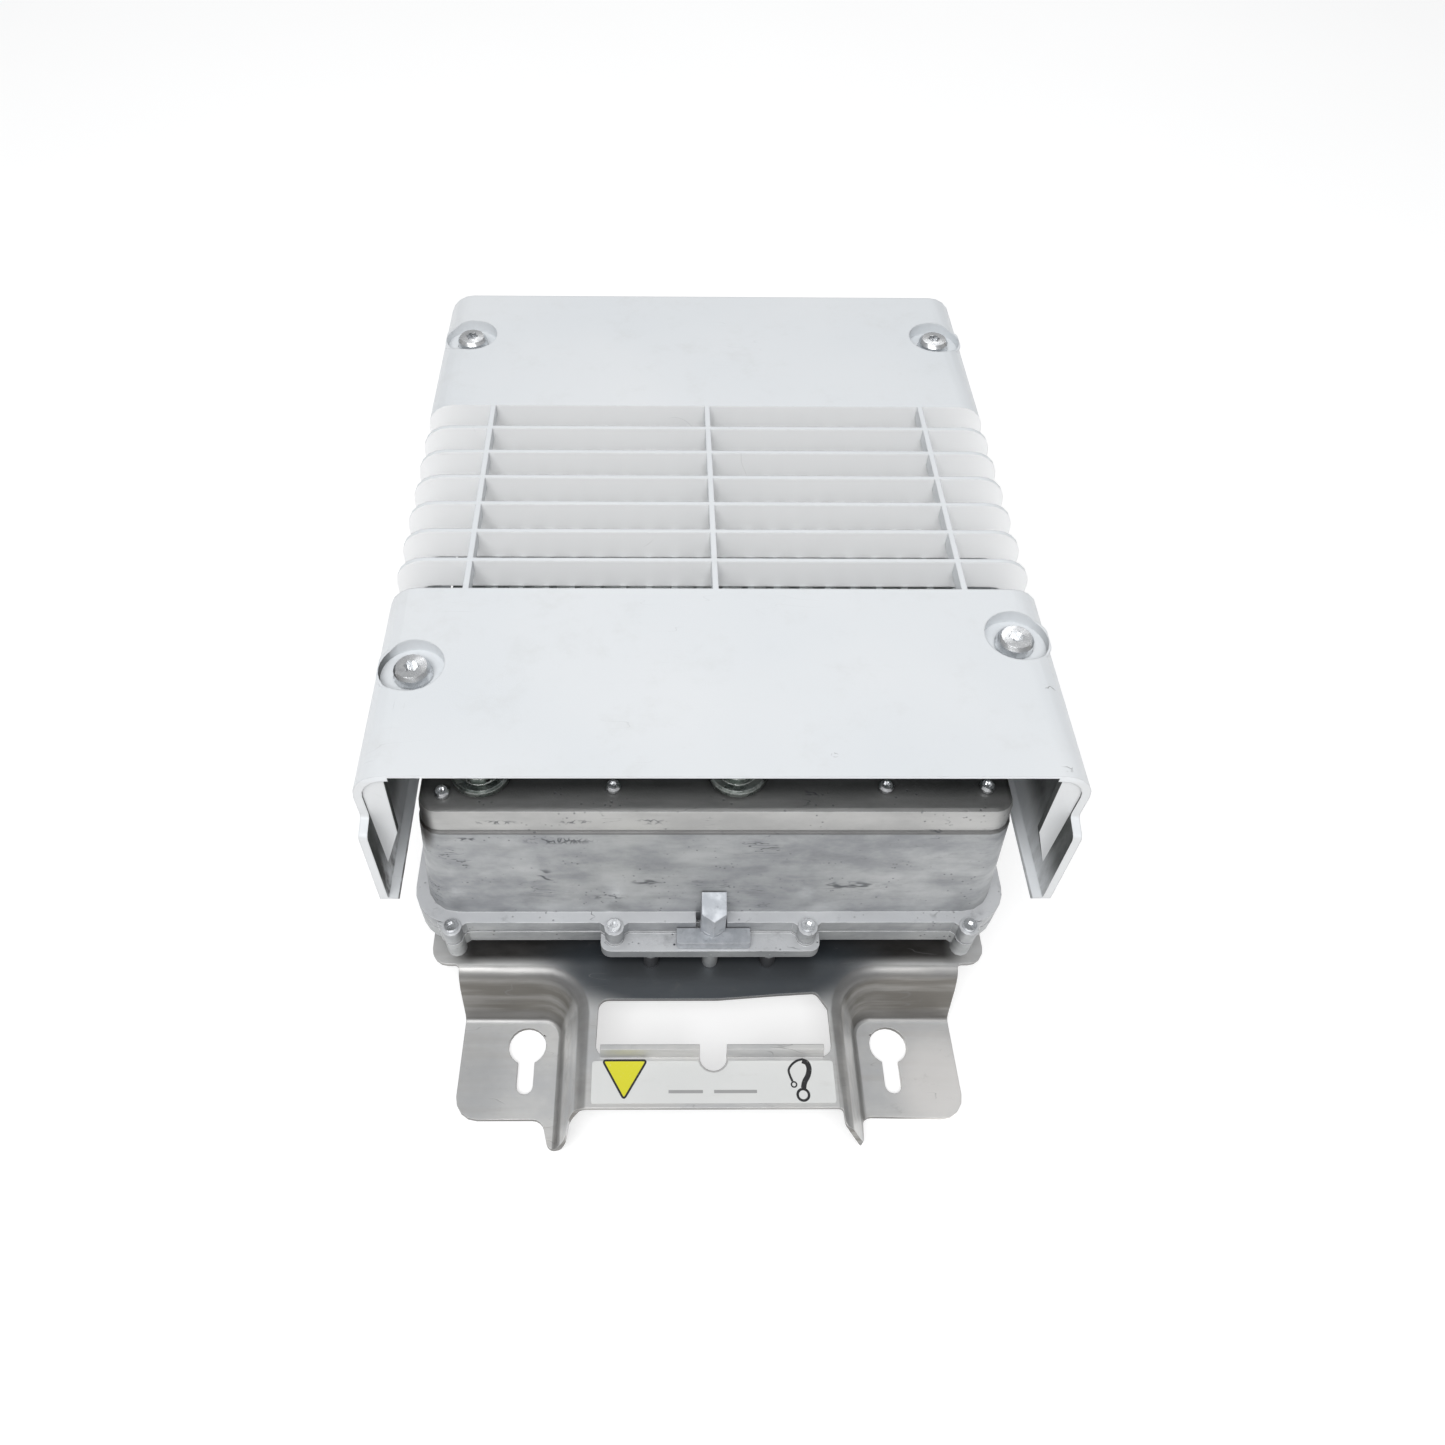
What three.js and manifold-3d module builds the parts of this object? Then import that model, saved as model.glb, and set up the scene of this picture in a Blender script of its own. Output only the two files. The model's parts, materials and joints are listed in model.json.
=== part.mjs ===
// Outdoor micro inverter with louvred sunshade, finned die-cast case and keyhole wall bracket.
// Millimetres, +Z away from the wall, Y from the lifting strap (upper end as installed) to the
// connectors (lower end), X = 0 on the centre plane, Z = 0 on the wall. The sizes below put
// Y = 0 at the sunshade's upper edge; the finished group is moved so that its footprint is centred.
import * as THREE from 'three';
import { mergeVertices } from 'three/addons/utils/BufferGeometryUtils.js';
import Module from 'manifold-3d';

const wasm = await Module();
wasm.setup();

// ---------- driving dimensions ----------
const GAP = 0.3;                 // clearance between pieces that touch

const COVER_W = 240;             // sunshade, outside
const COVER_L = 277;
const COVER_TOP = 154.5;         // above the wall
const COVER_T = 3;
const COVER_R = 12;              // long edges
const SKIRT_BOTTOM = 89;
const SKIRT_NOSE = 9.5;          // how far the lower skirt reaches past the near edge
const LOUVRE_Y = 83.2;           // first slot
const SLOT = 14;
const BLADE = 1.8;
const SLOTS = 7;
const SLOT_DROP = 30;            // slots run this far down the sides
const BLADE_DEPTH = 13;
const RIB_X = [-91, 0, 91];      // lengthwise ribs across the slots
const COVER_SCREWS = [[-105.7, 46.5], [105.7, 60.7], [-105.7, 244.5], [105.7, 244.5]];
const RECESS_R = 11.5;
const RECESS_FLOOR = 149;

const DECK_Z = 114.5;            // top of the case
const DECK_X = 106.6;
const DECK_Y = [12.2, 264.8];
const STEP_Z = 103;              // ledge round the upper part of the wall
const FLANGE_Z = 52;             // top face of the flange
const DRAFT = 6.2;               // how much the wall spreads from deck to flange
const FLANGE_X = 117.6;
const FLANGE_Y = [1.2, 275.8];
const FLANGE_R = 16;
const WALL = 3.5;
const LID_Z = [37, 44.2];        // bottom cover
const GASKET_Z = [44.5, 45.1];
const CASE_BOTTOM = 45.4;
const BOSS_R = 3.9;
const NEAR_BOSSES = [[-101.5, -0.8], [-38, -0.8], [38, -0.8], [101.5, -0.8]];
const FAR_BOSSES = NEAR_BOSSES.map(([x, y]) => [x, 277 - y]);
const BOSSES = [...NEAR_BOSSES, ...FAR_BOSSES];
const SHELF = { x: 43.5, y: -6.8, z: [38, 43.2] };

const SHEET = 2;                 // bracket sheet
const PLATEAU = 28;              // top face of the bracket under the case
const EAR_C = [68, -25.5];       // centre of the bend round each ear
const EAR_R = 8;                 // bend line at the wall
const RISER_RUN = 9.5;
const EAR_X = 101.5;
const EAR_Y = -59;
const NOSE_Y = -70.5;            // noses beside the strap
const FAR_EAR_Y = 321;
const WING_X = 113;
const FAR_EDGE = 282;
const KEYHOLE = { x: 74.4, y: -29.3, r: 7.7, slot: 3.35, end: -45.8 };
const STRAP_Y = [-63, -40];
const OPENING = { x: 45, y: [-40, -19.5], r: 5 };
const NOTCH = { r: 5.2, y: -43.8 };
const FEET = [[-23.6, -3.8], [23.6, -3.8], [-60, 262], [60, 262]];   // cast feet on the bracket

const FIN_PITCH = 9.8;
const FIN_T = 2.4;
const FINS = 20;
const FIN_TOP = 141;
const PLUGS = [[-84.7, 28.7], [7.6, 28.7]];
const DECK_SCREWS = [[-98, 20.2], [-37, 22.7], [61, 22.7], [97.5, 22.7]];
const SINK_SCREWS = [[-73.5, 205], [73.5, 205]];
const BOARD_SCREWS = [[-97, 40], [97, 40], [-97, 240], [97, 240]];
const BOARD_Z = [94, 95.6];

const PORT_Z = 77;               // connector axes above the wall
const PORT_FACE = 272;           // flat faces of the connector bosses
const DC_PORTS = [-84, -58, -26, 0];
const AC_PORT = 46;
const LENS_X = 80;
const STUD = [-98, 60];            // earth stud, X and Z

// ---------- solid helpers ----------
function solid(geometry) {
  const g = geometry.clone();
  g.deleteAttribute('normal');
  g.deleteAttribute('uv');
  const m = mergeVertices(g, 1e-4);
  const p = m.attributes.position.array;
  const tris = [];
  let volume = 0;
  for (let i = 0; i < m.index.count; i += 3) {
    const [a, b, c] = [0, 1, 2].map((k) => m.index.array[i + k]);
    if (a === b || b === c || a === c) continue;
    tris.push(a, b, c);
    const [A, B, C] = [a, b, c].map((k) => new THREE.Vector3(p[3 * k], p[3 * k + 1], p[3 * k + 2]));
    volume += A.dot(B.cross(C));
  }
  if (volume < 0) for (let i = 0; i < tris.length; i += 3) [tris[i], tris[i + 1]] = [tris[i + 1], tris[i]];
  return new wasm.Manifold(new wasm.Mesh({
    numProp: 3, vertProperties: new Float32Array(p), triVerts: new Uint32Array(tris),
  }));
}
const join = (...list) => list.flat().reduce((a, b) => a.add(b));
const cut = (body, ...list) => list.flat().reduce((a, b) => a.subtract(b), body);

function box(x0, x1, y0, y1, z0, z1) {
  const g = new THREE.BoxGeometry(x1 - x0, y1 - y0, z1 - z0);
  return solid(g.translate((x0 + x1) / 2, (y0 + y1) / 2, (z0 + z1) / 2));
}
function cyl(r, x, y, z0, z1, seg = 16, r2 = r) {
  const g = new THREE.CylinderGeometry(r2, r, z1 - z0, seg).rotateX(Math.PI / 2);
  return solid(g.translate(x, y, (z0 + z1) / 2));
}
function cylY(r, x, z, y0, y1, seg = 16) {
  return solid(new THREE.CylinderGeometry(r, r, y1 - y0, seg).translate(x, (y0 + y1) / 2, z));
}
// hexagon across flats `af`, a corner towards -Y
function hex(af, x, y, z0, z1) {
  return cyl(af / Math.sqrt(3), x, y, z0, z1, 6);
}
function lathe(profile, x, y, seg = 16) {
  const pts = profile.map(([r, z]) => new THREE.Vector2(r, z));
  return solid(new THREE.LatheGeometry(pts, seg).rotateX(Math.PI / 2).translate(x, y, 0));
}
function latheY(profile, x, z, seg = 16) {
  const pts = profile.map(([r, y]) => new THREE.Vector2(r, y));
  return solid(new THREE.LatheGeometry(pts, seg).translate(x, 0, z));
}
function plan(shape, z0, z1, curve = 6) {
  const g = new THREE.ExtrudeGeometry(shape, { depth: z1 - z0, bevelEnabled: false, curveSegments: curve });
  return solid(g.translate(0, 0, z0));
}
// outline in X and Z, extruded along Y
function along(shape, y0, y1, curve = 6) {
  const g = new THREE.ExtrudeGeometry(shape, { depth: y1 - y0, bevelEnabled: false, curveSegments: curve });
  return solid(g.rotateX(Math.PI / 2).translate(0, y1, 0));
}
// outline in Y and Z, extruded along X
function across(points, x0, x1) {
  const g = new THREE.ExtrudeGeometry(polygon(points), { depth: x1 - x0, bevelEnabled: false });
  g.applyMatrix4(new THREE.Matrix4().set(0, 0, 1, x0, 1, 0, 0, 0, 0, 1, 0, 0, 0, 0, 0, 1));
  return solid(g);
}
function polygon(points) {
  return new THREE.Shape(points.map(([x, y]) => new THREE.Vector2(x, y)));
}
// polygon whose corners [x, y, r] are rounded by r
function rounded(corners, seg = 5) {
  const out = [];
  const n = corners.length;
  corners.forEach(([x, y, r], i) => {
    const p = new THREE.Vector2(x, y);
    if (!r) { out.push([x, y]); return; }
    const a = new THREE.Vector2(...corners[(i + n - 1) % n]).sub(p).normalize();
    const b = new THREE.Vector2(...corners[(i + 1) % n]).sub(p).normalize();
    const half = Math.acos(THREE.MathUtils.clamp(a.dot(b), -1, 1)) / 2;
    const c = p.clone().add(a.clone().add(b).normalize().multiplyScalar(r / Math.sin(half)));
    const from = p.clone().addScaledVector(a, r / Math.tan(half)).sub(c);
    const to = p.clone().addScaledVector(b, r / Math.tan(half)).sub(c);
    let turn = to.angle() - from.angle();
    if (turn > Math.PI) turn -= 2 * Math.PI;
    if (turn < -Math.PI) turn += 2 * Math.PI;
    for (let k = 0; k <= seg; k++) {
      const t = from.angle() + (turn * k) / seg;
      out.push([c.x + r * Math.cos(t), c.y + r * Math.sin(t)]);
    }
  });
  return out;
}
const rect = (x0, x1, y0, y1, r, seg = 5) =>
  rounded([[x0, y0, r], [x1, y0, r], [x1, y1, r], [x0, y1, r]], seg);
const slab = (x0, x1, y0, y1, r, z0, z1, seg = 5) => plan(polygon(rect(x0, x1, y0, y1, r, seg)), z0, z1);

// closed skin through rings of equal length; `face` is the 2-D outline used to cap both ends
function skin(rings, face) {
  const n = rings[0].length;
  const position = rings.flat(2);
  const index = [];
  for (let i = 0; i + 1 < rings.length; i++) {
    for (let k = 0; k < n; k++) {
      const [a, b] = [i * n + k, i * n + ((k + 1) % n)];
      index.push(a, b, b + n, a, b + n, a + n);
    }
  }
  const last = (rings.length - 1) * n;
  const caps = THREE.ShapeUtils.triangulateShape(face.map(([x, y]) => new THREE.Vector2(x, y)), []);
  const flip = THREE.ShapeUtils.area(face.map(([x, y]) => new THREE.Vector2(x, y))) < 0;
  for (const [a, b, c] of caps) {
    if (flip) index.push(a, b, c, last + a, last + c, last + b);
    else index.push(a, c, b, last + a, last + b, last + c);
  }
  const g = new THREE.BufferGeometry();
  g.setAttribute('position', new THREE.Float32BufferAttribute(position, 3));
  g.setIndex(index);
  return solid(g);
}
// drafted box: levels of [z, grow], outline grown by `grow` at each height
function drafted(x, y, r, levels, seg = 4) {
  const outline = (e) => rect(-x - e, x + e, y[0] - e, y[1] + e, Math.max(r + e, 1), seg);
  return skin(levels.map(([z, e]) => outline(e).map(([a, b]) => [a, b, z])), outline(0));
}
function star(x, y, r, z0, z1) {
  const pts = [...Array(12).keys()].map((i) => {
    const q = i % 2 ? r * 0.72 : r;
    return [x + q * Math.cos((i * Math.PI) / 6), y + q * Math.sin((i * Math.PI) / 6)];
  });
  return plan(polygon(pts), z0, z1);
}

// ---------- scene ----------
const group = new THREE.Group();
group.name = 'micro_inverter';
const LOOK = {
  cover: [0xe4e7e9, 0.05, 0.35], cast: [0xa9acae, 0.85, 0.5], finned: [0x8f9496, 0.9, 0.45],
  steel: [0xc9cbcd, 1, 0.3], sheet: [0xb9b7b3, 1, 0.28], zinc: [0xb4b6b8, 0.9, 0.4],
  rubber: [0x1c1d1e, 0, 0.8], black: [0x202224, 0, 0.55], label: [0xeef0ee, 0, 0.6],
  board: [0x1f5a38, 0, 0.5], ferrite: [0x3a3b3d, 0.1, 0.6], copper: [0xb66a35, 0.9, 0.35],
  tape: [0xd8b23a, 0, 0.5], film: [0x2b5ea8, 0, 0.45], can: [0x2f3338, 0.2, 0.4],
  pad: [0x8aa0ad, 0, 0.8], relay: [0x2a2c2f, 0, 0.5], plug: [0x2f7d4a, 0, 0.5],
  brass: [0xc6a356, 0.9, 0.35], lens: [0xbfe3c2, 0, 0.15],
};
function piece(name, body, look) {
  const m = body.getMesh();
  const g = new THREE.BufferGeometry();
  g.setAttribute('position', new THREE.BufferAttribute(new Float32Array(m.vertProperties), 3));
  g.setIndex(new THREE.BufferAttribute(new Uint32Array(m.triVerts), 1));
  g.computeVertexNormals();
  const [color, metalness, roughness] = LOOK[look];
  const material = new THREE.MeshStandardMaterial({ name: look, color, metalness, roughness });
  const mesh = new THREE.Mesh(g, material);
  mesh.name = name;
  group.add(mesh);
}

// one numbered piece for each place in the list
function series(name, places, make, look) {
  places.forEach((at, i) => piece(`${name}_${i + 1}`, make(...at), look));
}

// ---------- sunshade cover ----------
{
  const hw = COVER_W / 2;
  const inner = hw - COVER_T;
  const profile = rounded([
    [-hw, SKIRT_BOTTOM, 1], [-hw, COVER_TOP, COVER_R], [hw, COVER_TOP, COVER_R], [hw, SKIRT_BOTTOM, 1],
    [hw - 6.5, SKIRT_BOTTOM, 0.8], [hw - 6.5, SKIRT_BOTTOM + 2.4, 0.6], [inner, SKIRT_BOTTOM + 3.4, 1],
    [inner, COVER_TOP - COVER_T, COVER_R - COVER_T], [-inner, COVER_TOP - COVER_T, COVER_R - COVER_T],
    [-inner, SKIRT_BOTTOM + 3.4, 1], [-hw + 6.5, SKIRT_BOTTOM + 2.4, 0.6], [-hw + 6.5, SKIRT_BOTTOM, 0.8],
  ], 5);
  let shell = along(polygon(profile), -SKIRT_NOSE - 1, COVER_L);
  // near edge: flush at the top, stepping forward low on the skirts
  const keep = across(rounded([
    [0, COVER_TOP + 5, 0], [0, 131.5, 2], [-7.5, 129.5, 2.5], [-SKIRT_NOSE, 91, 4],
    [-SKIRT_NOSE + 2.5, SKIRT_BOTTOM - 1, 1], [COVER_L + 5, SKIRT_BOTTOM - 1, 0], [COVER_L + 5, COVER_TOP + 5, 0],
  ], 3), -hw - 5, hw + 5);
  shell = shell.intersect(keep);

  // slots, leaving thin blades that follow the section
  const y1 = LOUVRE_Y + SLOTS * SLOT + (SLOTS - 1) * BLADE;
  const low = COVER_TOP - SLOT_DROP;
  shell = cut(shell, box(-hw - 1, hw + 1, LOUVRE_Y, y1, low, COVER_TOP + 1));
  const bladeShape = polygon(rounded([
    [-hw, low - 0.5, 0], [-hw, COVER_TOP, COVER_R], [hw, COVER_TOP, COVER_R], [hw, low - 0.5, 0],
    [inner, low - 0.5, 0], [inner - 5, COVER_TOP - BLADE_DEPTH, 8],
    [-inner + 5, COVER_TOP - BLADE_DEPTH, 8], [-inner, low - 0.5, 0],
  ], 5));
  const blades = [...Array(SLOTS - 1).keys()].map((i) => {
    const y = LOUVRE_Y + SLOT + i * (SLOT + BLADE);
    return along(bladeShape, y, y + BLADE);
  });
  const ribs = RIB_X.map((x) => box(x - 1.1, x + 1.1, LOUVRE_Y - 1, y1 + 1, COVER_TOP - 5.5, COVER_TOP));
  // stiffening rim under both ends of the louvre
  const rims = [[LOUVRE_Y - BLADE, LOUVRE_Y], [y1, y1 + BLADE]].map(([a, b]) => along(bladeShape, a, b));
  // return ribs beside the case at the near end and at the far end
  const returns = [[0.6, 3.1], [COVER_L - 3.1, COVER_L - 0.6]].flatMap(([a, b]) => [-1, 1].map((s) => along(
    polygon([[s * (inner + 0.5), 98.5], [s * 110, 120], [s * 108.6, 152.5], [s * (inner + 0.5), 152.5]]
      .map(([x, z]) => [x, z])), a, b).intersect(along(polygon(rounded([
      [-hw + 0.5, 95, 0], [-hw + 0.5, COVER_TOP - 0.5, COVER_R], [hw - 0.5, COVER_TOP - 0.5, COVER_R],
      [hw - 0.5, 95, 0]], 5)), a - 1, b + 1))));
  shell = join(shell, blades, ribs, rims, returns);
  // near edge thinned from below
  shell = cut(shell, across([[-2, 149], [-2, COVER_TOP - 1], [0, COVER_TOP - 1.2], [5, 151.3], [5, 149]], -107, 107));

  // recessed seats for the captive screws
  for (const [x, y] of COVER_SCREWS) {
    const seat = cyl(12.5, x, y, 146, 152.5, 22).intersect(box(-inner - 0.5, inner + 0.5, y - 20, y + 20, 140, 160));
    shell = cut(join(shell, seat), cyl(RECESS_R, x, y, RECESS_FLOOR, COVER_TOP + 1, 28), cyl(3.4, x, y, 140, 150));
  }
  piece('sunshade_cover', shell, 'cover');
}

// captive cover screws: flanged pan head with star recess
series('cover_screw', COVER_SCREWS, (x, y) => cut(
  lathe([[0, 130], [3, 130], [3, RECESS_FLOOR + 0.3], [7, RECESS_FLOOR + 0.3], [6.6, RECESS_FLOOR + 1],
    [6.5, RECESS_FLOOR + 3.2], [5.4, RECESS_FLOOR + 4.6], [0, RECESS_FLOOR + 5]], x, y, 18),
  star(x, y, 2.9, RECESS_FLOOR + 2.2, RECESS_FLOOR + 6)), 'steel');

// ---------- case ----------
const notch = box(-5.8, 6.4, -9, 5.9, 36, 53);
{
  const wall = drafted(DECK_X, DECK_Y, 7, [
    [CASE_BOTTOM, DRAFT], [FLANGE_Z, DRAFT], [STEP_Z, 1.5], [STEP_Z + 0.3, 0.7], [112.8, 0], [114, -0.6],
    [DECK_Z, -1.8],
  ]);
  const hollow = drafted(DECK_X, DECK_Y, 7, [
    [CASE_BOTTOM - 1, DRAFT - WALL], [FLANGE_Z, DRAFT - WALL], [110.5, -WALL]], 2);
  const flange = slab(-FLANGE_X, FLANGE_X, ...FLANGE_Y, FLANGE_R, CASE_BOTTOM, FLANGE_Z, 6);
  const bosses = BOSSES.map(([x, y]) => cyl(BOSS_R, x, y, CASE_BOTTOM, FLANGE_Z + 0.4, 12));
  const webs = NEAR_BOSSES.concat(FAR_BOSSES).map(([x, y]) => {
    const s = y < 100 ? 1 : -1;
    return plan(polygon([[x - 6, y + 2.3 * s], [x - 3, y], [x + 3, y], [x + 6, y + 2.3 * s]]), CASE_BOTTOM, FLANGE_Z);
  });
  const posts = COVER_SCREWS.map(([x, y]) => cyl(6, x, y, 60, 145.6, 14));
  const ports = [...DC_PORTS.map((x) => [x, 11]), [AC_PORT, 18], [LENS_X, 6]].map(([x, r]) =>
    cylY(r, x, PORT_Z, 262, PORT_FACE, 20));
  ports.push(cylY(6, ...STUD, 264, PORT_FACE, 14));
  let body = join(wall, flange, bosses, webs, posts, ports);
  body = cut(body, hollow, notch);
  body = join(body, BOARD_SCREWS.map(([x, y]) => cyl(4, x, y, BOARD_Z[1] + GAP, 111, 12)));
  body = cut(body, BOARD_SCREWS.map(([x, y]) => cyl(1.9, x, y, 95, 108, 8)));
  body = cut(body, BOSSES.map(([x, y]) => cyl(1.8, x, y, 40, 60, 8)));
  body = cut(body, COVER_SCREWS.map(([x, y]) => cyl(3.3, x, y, 129, 146, 12)));
  body = cut(body, PLUGS.map(([x, y]) => cyl(6.5, x, y, 105, 120, 14)));
  body = cut(body, DECK_SCREWS.map(([x, y]) => cyl(1.9, x, y, 105, 120, 8)));
  body = cut(body, SINK_SCREWS.map(([x, y]) => cyl(2.3, x, y, 105, 120, 8)));
  body = cut(body, DC_PORTS.map((x) => cylY(6.3, x, PORT_Z, 255, 280, 18)));
  body = cut(body, cylY(11.3, AC_PORT, PORT_Z, 255, 280, 20), cylY(2.8, LENS_X, PORT_Z, 255, 280, 8));
  body = cut(body, cylY(2.3, ...STUD, 262, 280, 8));
  piece('housing', body, 'cast');
}
piece('gasket', cut(slab(-FLANGE_X + 2, FLANGE_X - 2, 3.2, 273.8, FLANGE_R - 2, ...GASKET_Z, 8),
  slab(-109.7, 109.7, 9.1, 267.9, 8, 40, 50, 6), box(-6.2, 6.8, -9, 6.4, 36, 53),
  BOSSES.map(([x, y]) => cyl(BOSS_R - 0.6, x, y, 40, 60, 12))), 'rubber');
{
  const tray = slab(-FLANGE_X, FLANGE_X, ...FLANGE_Y, FLANGE_R, ...LID_Z, 6);
  const shelf = plan(polygon(rounded([[-SHELF.x, SHELF.y, 4], [SHELF.x, SHELF.y, 4], [SHELF.x, 6, 0],
    [-SHELF.x, 6, 0]])), ...SHELF.z);
  const bosses = BOSSES.map(([x, y]) =>
    cyl(BOSS_R, x, y, Math.abs(x) > 100 && Math.abs(x) < 110 ? 34.4 : LID_Z[0], LID_Z[1], 12));
  const webs = NEAR_BOSSES.concat(FAR_BOSSES).map(([x, y]) => {
    const s = y < 100 ? 1 : -1;
    return plan(polygon([[x - 6, y + 2.3 * s], [x - 3, y], [x + 3, y], [x + 6, y + 2.3 * s]]), ...LID_Z);
  });
  const feet = FEET.map(([x, y]) => cyl(3.1, x, y, PLATEAU + GAP, 40, 14));
  const dowel = cyl(3.1, 0.3, -3.8, PLATEAU + GAP, 40, 14);
  const pads = FEET.slice(2).map(([x, y]) => cyl(6, x, y, LID_Z[0] - 1, 43, 14));
  let lid = join(cut(tray, slab(-109.7, 109.7, 9.1, 267.9, 8, 40.2, 50, 6)), shelf, bosses, webs, feet, dowel, pads);
  lid = cut(lid, cut(notch, box(-9, 9, -10, 10, 30, 43.2)));
  lid = cut(lid, cyl(2.8, 0.9, 2.1, 39, 45, 12));
  lid = cut(lid, BOSSES.map(([x, y]) => cyl(1.8, x, y, 40, 50, 8)));
  lid = cut(lid, FEET.map(([x, y]) => cyl(2, x, y, 20, 42, 8)));
  piece('bottom_cover', lid, 'cast');
}
// sloped hexagonal guide lug on its pad
{
  const gauge = across([[-9, 43], [5.5, 43], [5.5, 52], [6.9, 66.4], [-3.4, 61], [-9, 58.5]], -20, 21);
  const pad = slab(-13.4, 15.7, -5.7, 4, 1, 43.5, 48, 2);
  const stem = join(hex(9.6, 0.9, 2.1, 44, 70), box(-3.9, 5.7, 2.1, 8, 44, 70), cyl(5.2, 0.9, 2.1, 44, 49.6, 18));
  piece('guide_lug', join(pad.intersect(box(-20, 20, -9, 0.9, 40, 50)), stem.intersect(gauge),
    cyl(2.5, 0.9, 2.1, 39.5, 45, 12)), 'zinc');
}
series('flange_screw', BOSSES, (x, y) => cut(
  join(cyl(1.5, x, y, 41, 53, 8), cyl(2.7, x, y, FLANGE_Z + 0.7, FLANGE_Z + 2.3, 12)),
  hex(2.5, x, y, FLANGE_Z + 1.2, FLANGE_Z + 3)), 'steel');

// ---------- top of the case ----------
{
  const z0 = DECK_Z + GAP;
  const base = slab(-98.5, 98.5, 29, 248, 3, z0, z0 + 3.5, 3);
  const fins = [...Array(FINS).keys()].map((i) => {
    const x = (i - (FINS - 1) / 2) * FIN_PITCH;
    return box(x - FIN_T / 2, x + FIN_T / 2, 29, 248, z0 + 3, FIN_TOP);
  });
  const clear = PLUGS.map(([x, y]) => join(cyl(12.5, x, y, 110, 150, 20), box(x - 12.5, x + 12.5, 20, y, 110, 150)));
  const holes = SINK_SCREWS.map(([x, y]) => join(
    cyl(2.3, x, y, 110, 120, 8), cyl(5, x, y, z0 + 3.5, 150, 12)));
  piece('heat_sink', cut(join(base, fins), clear, holes), 'finned');
}
series('heat_sink_screw', SINK_SCREWS, (x, y) => cut(
  lathe([[0, 104], [2, 104], [2, 118.6], [3.8, 118.6], [3.8, 120.4], [3, 121.4], [0, 121.6]], x, y, 12),
  star(x, y, 1.7, 120.3, 123)), 'steel');
series('deck_screw', DECK_SCREWS, (x, y) => cut(
  lathe([[0, 107], [1.6, 107], [1.6, DECK_Z + 0.3], [2.9, DECK_Z + 0.3], [2.9, DECK_Z + 1.6],
    [2.2, DECK_Z + 2.4], [0, DECK_Z + 2.5]], x, y, 12),
  star(x, y, 1.4, DECK_Z + 1.5, DECK_Z + 4)), 'steel');
{
  const [vent, blank] = PLUGS;
  const skirt = (x, y) => lathe([[0, 107], [6.1, 107], [6.1, DECK_Z + 1.1], [11, DECK_Z + 1.1], [11, DECK_Z + 3.2],
    [10.2, DECK_Z + 4], [7.5, DECK_Z + 4], [7.2, DECK_Z + 7], [0, DECK_Z + 7]], x, y, 24);
  const slots = [0, 1, 2].map((i) => {
    const g = new THREE.BoxGeometry(18, 1.6, 1.4).rotateZ((i * Math.PI) / 3).translate(vent[0], vent[1], DECK_Z + 5);
    return solid(g);
  });
  piece('vent_plug', cut(skirt(...vent), slots, cyl(2.6, ...vent, 106, DECK_Z + 5, 12)), 'cast');
  piece('vent_membrane', cyl(2.3, ...vent, 109, 109.6, 12), 'label');
  piece('blanking_plug', cut(skirt(...blank), hex(6, ...blank, DECK_Z + 4.4, DECK_Z + 8)), 'cast');
  series('plug_seal', PLUGS, (x, y) => lathe([[6.9, DECK_Z + 0.2], [9.4, DECK_Z + 0.2],
    [9.4, DECK_Z + 0.85], [6.9, DECK_Z + 0.85], [6.9, DECK_Z + 0.2]], x, y, 20), 'rubber');
}

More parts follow.
